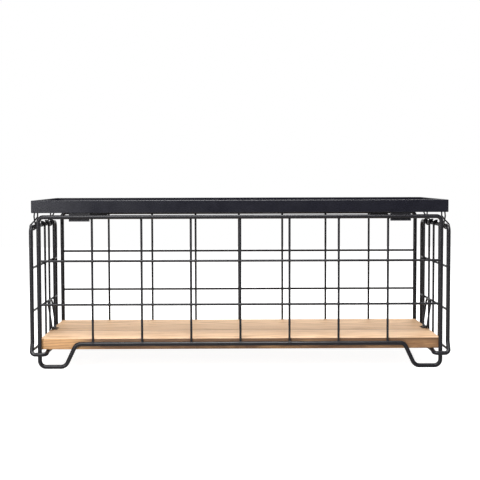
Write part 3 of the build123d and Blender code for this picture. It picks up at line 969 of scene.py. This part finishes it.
@dataclass
class Hanger:
    """A pinched wire that hangs an end panel's top rod from the rim.

    One wire comes down from the rim, crosses to the far side of the rod, goes round under it and
    returns to the rim beside itself. Pinch, rod and strands are places in X and Z on the right.
    """

    name: str
    side: int
    wire_coat: bpy.types.Material
    wire_radius: float = 0.0018
    wire_sides: int = 16
    eye_radius: float = 0.0071
    pinch: tuple[float, float] = (0.4975, 0.3570)
    rod: tuple[float, float] = (0.5020, 0.3420)
    outer_strand: tuple[tuple[float, float], ...] = ((0.4975, 0.3757), (0.4987, 0.3662))
    inner_strand: tuple[tuple[float, float], ...] = ((0.4906, 0.3662), (0.4905, 0.3757))
    strand_radii: tuple[float, float] = (0.006, 0.005)
    strand_shift: float = 1.05
    eye_corners: int = 6
    arc_steps: int = 8

    def build(self) -> None:
        """Make the wire in place of its CAD node."""
        low, high = corners_of(self.name)
        to_pinch = np.array(self.pinch) - np.array(self.rod)
        towards = math.atan2(to_pinch[1], to_pinch[0])
        spread = math.acos(self.eye_radius / math.hypot(*to_pinch))
        first, last = towards + spread, towards - spread + 2 * math.pi
        width = (last - first) / self.eye_corners
        angles = first + width * (np.arange(self.eye_corners) + 0.5)
        reach = self.eye_radius / math.cos(width / 2)
        eye = np.array(self.rod) + reach * np.stack([np.cos(angles), np.sin(angles)], axis=-1)
        xz = np.concatenate([
            [*self.outer_strand, self.pinch], eye, [self.pinch, *self.inner_strand]
        ])
        bends = np.array(self.strand_radii)
        radii = np.concatenate([bends, np.full(self.eye_corners, self.eye_radius), bends[::-1]])
        # The two strands lie side by side where they cross
        share = np.linspace(-1.0, 1.0, len(xz))
        y = (low[1] + high[1]) / 2 + self.strand_shift * self.wire_radius * share
        corners = points_of(self.side * xz[:, 0], y, xz[:, 1])
        path = route(corners, radii, self.arc_steps)
        points, faces = tube(path, self.wire_radius, self.wire_sides)
        make_piece(
            f"{self.name}_wire", points, faces, Body.FRAME, self.wire_coat, (self.name,)
        )


@dataclass
class Plank:
    """One plank of the shelf board, with eased edges and a lightly scraped top."""

    name: str
    outer: int
    wood: OiledBoard
    ease: float = 0.0016
    joint_ease: float = 0.0005
    relief: float = 0.00016
    ease_rings: int = 5
    cap_rings: int = 6
    cap_scales: tuple[float, float] = (0.02, 0.98)
    length_rings: int = 240
    arc_points: int = 6
    flat_points: tuple[int, ...] = (30, 4, 12, 4)  # top, one side, underside, other side
    top_from: float = 0.8
    scrape_waves: int = 7
    scrape_seed: int = 7

    def build(self) -> None:
        """Make the plank in place of its CAD node.

        Its section is a rectangle whose four corners are quarter circles, and it is carried along
        X. Over the last ease at an end, the section shrinks by ease * (1 - sqrt(1 - s * s)), with s
        from 0 to 1 at the end, and then scales down to all but a point in the middle of the end.
        """
        low, high = corners_of(self.name)
        middle, half = (low + high) / 2, (high - low) / 2
        s = np.linspace(0.0, 1.0, self.ease_rings)
        inset = self.ease * (1.0 - np.sqrt(np.clip(1.0 - (1.0 - s) ** 2, 0.0, 1.0)))
        near_x = low[0] + self.ease * s
        far_x = (low[0] + high[0] - near_x)[::-1]
        body_x = np.linspace(near_x[-1], high[0] - self.ease, self.length_rings)[1:-1]
        caps = np.linspace(*self.cap_scales, self.cap_rings)
        flat = np.ones(self.cap_rings)
        x = np.concatenate([low[0] * flat, near_x, body_x, far_x, high[0] * flat])
        shrink = np.concatenate([
            self.ease * flat, inset, 0 * body_x, inset[::-1], self.ease * flat
        ])
        scale = np.concatenate([caps, np.ones(len(x) - 2 * self.cap_rings), caps[::-1]])
        room = half[1:]
        factor = (room - shrink[:, None]) / room * scale[:, None]
        yz = self.section(*room) * factor[:, None]
        points = points_of(x[:, None], middle[1] + yz[..., 0], middle[2] + yz[..., 1])
        points[..., 2] -= self.scrape(points) * (yz[..., 1] > self.top_from * half[2])
        make_piece(
            f"{self.name}_board", points, grid_faces(*points.shape[:2]), Body.BOARD,
            self.wood.material(), (self.name,),
        )

    def section(self, half_width: float, half_height: float) -> np.ndarray:
        """Return the section's outline about its middle.

        Args:
            half_width: Half its size along Y.
            half_height: Half its size along Z.

        Returns:
            Points in order, anticlockwise seen from +X.
        """
        arc = np.linspace(0.0, np.pi / 2, self.arc_points)
        outline = []
        for turn, sy, sz in ((0, 1, 1), (1, -1, 1), (2, -1, -1), (3, 1, -1)):
            r = self.ease if sy == self.outer else self.joint_ease
            centre = np.array([sy * (half_width - r), sz * (half_height - r)])
            a = arc + turn * np.pi / 2
            outline.append(centre + r * np.stack([np.cos(a), np.sin(a)], axis=-1))
        flats = []
        for here, there, count in zip(outline, outline[1:] + outline[:1], self.flat_points):
            share = np.linspace(0.0, 1.0, count)[1:-1, None]
            flats += [here, here[-1] * (1 - share) + there[0] * share]
        return np.concatenate(flats)

    def scrape(self, points: np.ndarray) -> np.ndarray:
        """Return how far the top is worn down: a sum of sine waves, slanting to the grain.

        Args:
            points: The plank's points.

        Returns:
            A depth for each point, from 0 to relief.
        """
        rng = np.random.default_rng(self.scrape_seed + self.outer)
        total = np.zeros(points.shape[:2])
        for _ in range(self.scrape_waves):
            along, across = rng.uniform(8.0, 40.0), rng.uniform(60.0, 260.0)
            phase = rng.uniform(0.0, 2.0 * np.pi)
            total += np.sin(along * points[..., 0] + across * points[..., 1] + phase)
        return self.relief * (0.5 + total / (2.0 * self.scrape_waves))


@dataclass
class BoardHandle:
    """A wire handle, the straps that hinge it to the board, and their screws."""

    name: str
    coat: bpy.types.Material
    strap_coat: bpy.types.Material
    screw_finish: bpy.types.Material

    def build(self) -> None:
        """Dress the handle and its fastenings."""
        dress((f"{self.name}_handle",), self.coat)
        dress((f"{self.name}_handle_straps",), self.strap_coat)
        dress((f"{self.name}_strap_screws",), self.screw_finish)


@dataclass(frozen=True)
class Softbox:
    """A square lamp that faces the bench: its place, the length of its side, and its watts."""

    name: str
    at: Point
    size: float
    power: float

    def build(self) -> None:
        """Hang the lamp."""
        lamp = bpy.data.lights.new(self.name, "AREA")
        lamp.size = self.size
        lamp.energy = self.power
        holder = bpy.data.objects.new(self.name, lamp)
        bpy.context.scene.collection.objects.link(holder)
        holder.location = self.at
        to_bench = (CAD_LOW + CAD_HIGH) / 2 - holder.location
        holder.rotation_euler = to_bench.to_track_quat("-Z", "Y").to_euler()


@dataclass
class Studio:
    """A white studio: floor, world, soft lamps and the camera."""

    camera_at: Point = (-0.0245, -2.7315, 0.4540)
    pitch_down: float = 3.23
    turn_right: float = 0.54
    roll: float = -0.15
    lens: float = 79.8
    ambient_front: float = 0.06
    ambient_back: float = 0.95
    ambient_span: tuple[float, float] = (-0.9, 0.6)
    paper: Colour = (0.34, 0.34, 0.34)
    paper_glow: float = 0.93
    paper_mirrored: float = 0.15
    floor_size: float = 9.0
    softboxes: tuple[Softbox, ...] = (
        Softbox("left_softbox", (-1.29, -2.2, 0.55), 0.5, 18.0),
        Softbox("key_softbox", (-1.2, -3.1, 2.4), 1.8, 38.0),
        Softbox("top_softbox", (-0.2, -1.6, 2.8), 1.6, 86.0),
        Softbox("back_softbox", (0.2, 1.3, 2.4), 1.5, 66.0),
        Softbox("overhead_softbox", (0.0, -0.6, 2.4), 1.0, 38.0),
    )

    def build(self) -> None:
        """Set up everything that isn't the bench."""
        self.build_floor()
        self.build_world()
        for softbox in self.softboxes:
            softbox.build()
        self.build_camera()

    def build_floor(self) -> None:
        """Make the floor: white to the camera, and it keeps the shadow."""
        half = self.floor_size / 2
        points = np.array([[-half, -half, 0], [half, -half, 0], [half, half, 0], [-half, half, 0]])
        mesh = bpy.data.meshes.new("studio_floor")
        mesh.from_pydata(points, [], [(0, 1, 2, 3)])
        floor = bpy.data.objects.new("studio_floor", mesh)
        bpy.context.scene.collection.objects.link(floor)
        tree = Tree("studio_paper")
        for socket, value in (("Base Color", self.paper), ("Roughness", 1.0),
                              ("Specular IOR Level", 0.0), ("Emission Color", WHITE)):
            tree.put(tree.shader.inputs[socket], value)
        rays = tree.nodes.new("ShaderNodeLightPath")
        mirrored = tree.math("MULTIPLY", rays.outputs["Is Glossy Ray"], self.paper_mirrored)
        seen = tree.math("MAXIMUM", rays.outputs["Is Camera Ray"], mirrored)
        glow = tree.math("MULTIPLY", seen, self.paper_glow)
        tree.put(tree.shader.inputs["Emission Strength"], glow)
        mesh.materials.append(tree.material)

    def build_world(self) -> None:
        """Make the world: white to the camera, and softer where it lights or is mirrored."""
        world = bpy.data.worlds.new("studio_world")
        world.use_nodes = True
        nodes, links = world.node_tree.nodes, world.node_tree.links
        back = nodes["Background"]
        back.inputs["Color"].default_value = (*WHITE, 1.0)
        # Light comes mostly from behind; the room in front of the bench is dim
        towards = nodes.new("ShaderNodeSeparateXYZ")
        links.new(nodes.new("ShaderNodeTexCoord").outputs["Generated"], towards.inputs[0])
        room = nodes.new("ShaderNodeMapRange")
        links.new(towards.outputs["Y"], room.inputs["Value"])
        keys = ("From Min", "From Max", "To Min", "To Max")
        numbers = (*self.ambient_span, self.ambient_front, self.ambient_back)
        for key, number in zip(keys, numbers):
            room.inputs[key].default_value = number
        strength = nodes.new("ShaderNodeMath")
        strength.operation = "MAXIMUM"
        links.new(room.outputs["Result"], strength.inputs[0])
        links.new(nodes.new("ShaderNodeLightPath").outputs["Is Camera Ray"], strength.inputs[1])
        links.new(strength.outputs[0], back.inputs["Strength"])
        bpy.context.scene.world = world

    def build_camera(self) -> None:
        """Make the camera and look through it."""
        camera = bpy.data.objects.new("camera", bpy.data.cameras.new("camera"))
        camera.data.lens = self.lens
        level = Euler((math.radians(90.0 - self.pitch_down), 0.0, math.radians(-self.turn_right)))
        roll = Matrix.Rotation(math.radians(self.roll), 4, "Z")
        camera.matrix_world = (
            Matrix.Translation(self.camera_at) @ level.to_matrix().to_4x4() @ roll
        )
        bpy.context.scene.collection.objects.link(camera)
        bpy.context.scene.camera = camera


def main() -> None:
    """Build the bench's looks in order, then the studio."""
    logging.basicConfig(level=logging.INFO, format="%(name)s %(message)s")
    rod_coat = PowderCoat("rod_coat").material()
    wire_coat = PowderCoat("wire_coat", roughness=0.34).material()
    clip_coat = PowderCoat("clip_coat", roughness=0.44).material()
    handle_coat = PowderCoat("handle_coat", roughness=0.34).material()
    screw_finish = BlackedSteel("blacked_screws").material()

    SeatTop().build()
    for name, outward in (("front", -1), ("back", 1)):
        LongPanel(name, outward, rod_coat, wire_coat).build()
    for name, side in (("left", -1), ("right", 1)):
        EndPanel(name, side, rod_coat, wire_coat).build()
        for place in ("front", "back"):
            dress((f"{place}_{name}_clip",), clip_coat)
            Hanger(f"{name}_{place}_hanger", side, wire_coat).build()
        BoardHandle(name, handle_coat, clip_coat, screw_finish).build()
    dress(("clip_screws",), screw_finish)

    front_wood = OiledBoard(
        "front_plank_wood", (-0.150, -0.055), (0.85, 0.57, 0.345), (0.57, 0.33, 0.165),
        (Knot(-0.035, -0.045, 0.0075),), edge_y=-0.175, seed=3.1,
    )
    back_wood = OiledBoard(
        "back_plank_wood", (0.110, -0.075), (0.75, 0.465, 0.245), (0.50, 0.28, 0.125),
        (Knot(-0.27, 0.085, 0.006), Knot(0.31, 0.012, 0.009)), edge_y=0.175, seed=8.7,
    )
    Plank("shelf_front_plank", -1, front_wood).build()
    Plank("shelf_back_plank", 1, back_wood).build()
    Studio().build()

    bpy.context.scene.view_settings.view_transform = "Standard"


if __name__ == "__main__":
    main()
